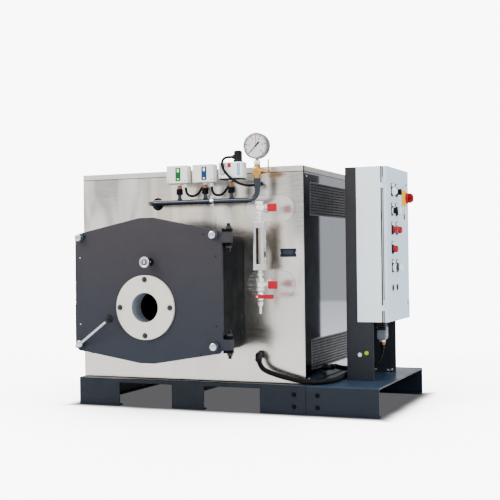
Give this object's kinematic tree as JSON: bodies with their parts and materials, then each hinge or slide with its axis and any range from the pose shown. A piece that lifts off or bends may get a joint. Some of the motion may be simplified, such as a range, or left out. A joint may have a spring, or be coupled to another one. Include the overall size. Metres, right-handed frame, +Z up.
{
  "type": "industrial boiler",
  "caption": "Packaged boiler in a sheet casing on a fork-lift skid, with hinged burner door, pressure manifold, water level gauge and a side control cabinet.",
  "frame": {"origin": "on the floor, in the middle of the whole machine seen from above", "axes": "+X to the right along the front, towards the cabinet; +Y to the rear; +Z up"},
  "size_m": [1.2801, 1.265, 1.057],
  "materials": {
    "skid_paint": "gloss slate-blue paint",
    "stainless": "bright annealed sheet",
    "grille": "slotted sheet, dark behind",
    "black_paint": "satin black paint",
    "door_paint": "fine textured charcoal paint",
    "lining": "ceramic fibre board",
    "flange_zinc": "pale zinc-primer coat",
    "zinc": "bright zinc plate",
    "pipe_paint": "gloss blue-grey paint",
    "light_plastic": "moulded light grey",
    "black_plastic": "moulded black",
    "brass": "machined",
    "nickel": "cast and nickel plated",
    "red_plastic": "moulded red",
    "gauge_case": "stainless case, white dial",
    "post_paint": "dark grey powder coat",
    "cabinet_paint": "light grey powder coat",
    "plate_blue": "blank dark blue plate",
    "galvanised": "galvanised sheet"
  },
  "bodies": {
    "boiler": {"skid_front_rail": "skid_paint", "skid_rear_rail": "skid_paint", "skid_members": "skid_paint", "extension_deck": "skid_paint", "casing_front": "stainless", "casing_left": "stainless", "casing_right": "stainless", "casing_rear": "stainless", "casing_floor": "galvanised", "casing_lid": "stainless", "grilles_left": "grille", "grilles_right": "grille", "furnace_body": "black_paint", "furnace_chamber": "black_paint", "door_hinges": "black_paint", "manifold_pipe": "pipe_paint", "switch_risers": "black_plastic", "pressure_switches": "light_plastic", "pressure_limiter": "light_plastic", "gauge_cock": "brass", "pressure_gauge": "gauge_case", "cover_plates": "stainless", "level_valve_upper": "nickel", "level_valve_lower": "nickel", "level_glass_holder": "nickel", "nameplate": "plate_blue", "post_web": "post_paint", "post_legs": "post_paint", "cabinet_box": "cabinet_paint", "mounting_plate": "galvanised", "cabinet_connector": "light_plastic", "conduit_elbows": "black_plastic", "front_conduit": "black_plastic", "side_conduit": "black_plastic", "cable_glands": "black_plastic", "switch_lead_1": "black_plastic", "switch_lead_2": "black_plastic", "plug_lead": "black_plastic", "connector_lead": "black_plastic", "rear_connections": "galvanised"},
    "burner_door": {"burner_door": "door_paint", "door_lining": "lining", "burner_flange": "flange_zinc", "door_fasteners": "zinc", "sight_glass": "zinc"},
    "clamp_lever": {"clamp_lever": "zinc"},
    "cabinet_door": {"cabinet_door": "cabinet_paint", "door_controls": "black_plastic"},
    "main_switch": {"main_switch_handle": "red_plastic"},
    "gauge_cock_lever": {"cock_lever": "brass"},
    "upper_level_cock": {"level_handle_upper": "red_plastic"},
    "lower_level_cock": {"level_handle_lower": "red_plastic"},
    "drain_cock": {"drain_lever": "red_plastic"}
  },
  "joints": [
    {"name": "burner_door_swing", "type": "hinge", "parent": "boiler", "child": "burner_door", "pos_m": [0.095, -0.548, 0.47], "axis": [0, 0, 1], "range_deg": [0, 95]},
    {"name": "clamp_lever_turn", "type": "hinge", "parent": "burner_door", "child": "clamp_lever", "pos_m": [-0.516, -0.59, 0.266], "axis": [0, -1, 0], "range_deg": [0, 90]},
    {"name": "cabinet_door_swing", "type": "hinge", "parent": "boiler", "child": "cabinet_door", "pos_m": [0.579, -0.1783, 0.636], "axis": [0, 0, -1], "range_deg": [0, 110]},
    {"name": "main_switch_turn", "type": "hinge", "parent": "cabinet_door", "child": "main_switch", "pos_m": [0.605, 0.0935, 0.8235], "axis": [1, 0, 0], "range_deg": [0, 90]},
    {"name": "gauge_cock_turn", "type": "hinge", "parent": "boiler", "child": "gauge_cock_lever", "pos_m": [0.21, -0.438, 0.913], "axis": [1, 0, 0], "range_deg": [0, 90]},
    {"name": "upper_level_cock_turn", "type": "hinge", "parent": "boiler", "child": "upper_level_cock", "pos_m": [0.205, -0.441, 0.776], "axis": [1, 0, 0], "range_deg": [0, 90]},
    {"name": "lower_level_cock_turn", "type": "hinge", "parent": "boiler", "child": "lower_level_cock", "pos_m": [0.205, -0.441, 0.488], "axis": [1, 0, 0], "range_deg": [0, 90]},
    {"name": "drain_cock_turn", "type": "hinge", "parent": "boiler", "child": "drain_cock", "pos_m": [0.175, -0.466, 0.445], "axis": [0, 1, 0], "range_deg": [0, 90]}
  ]
}
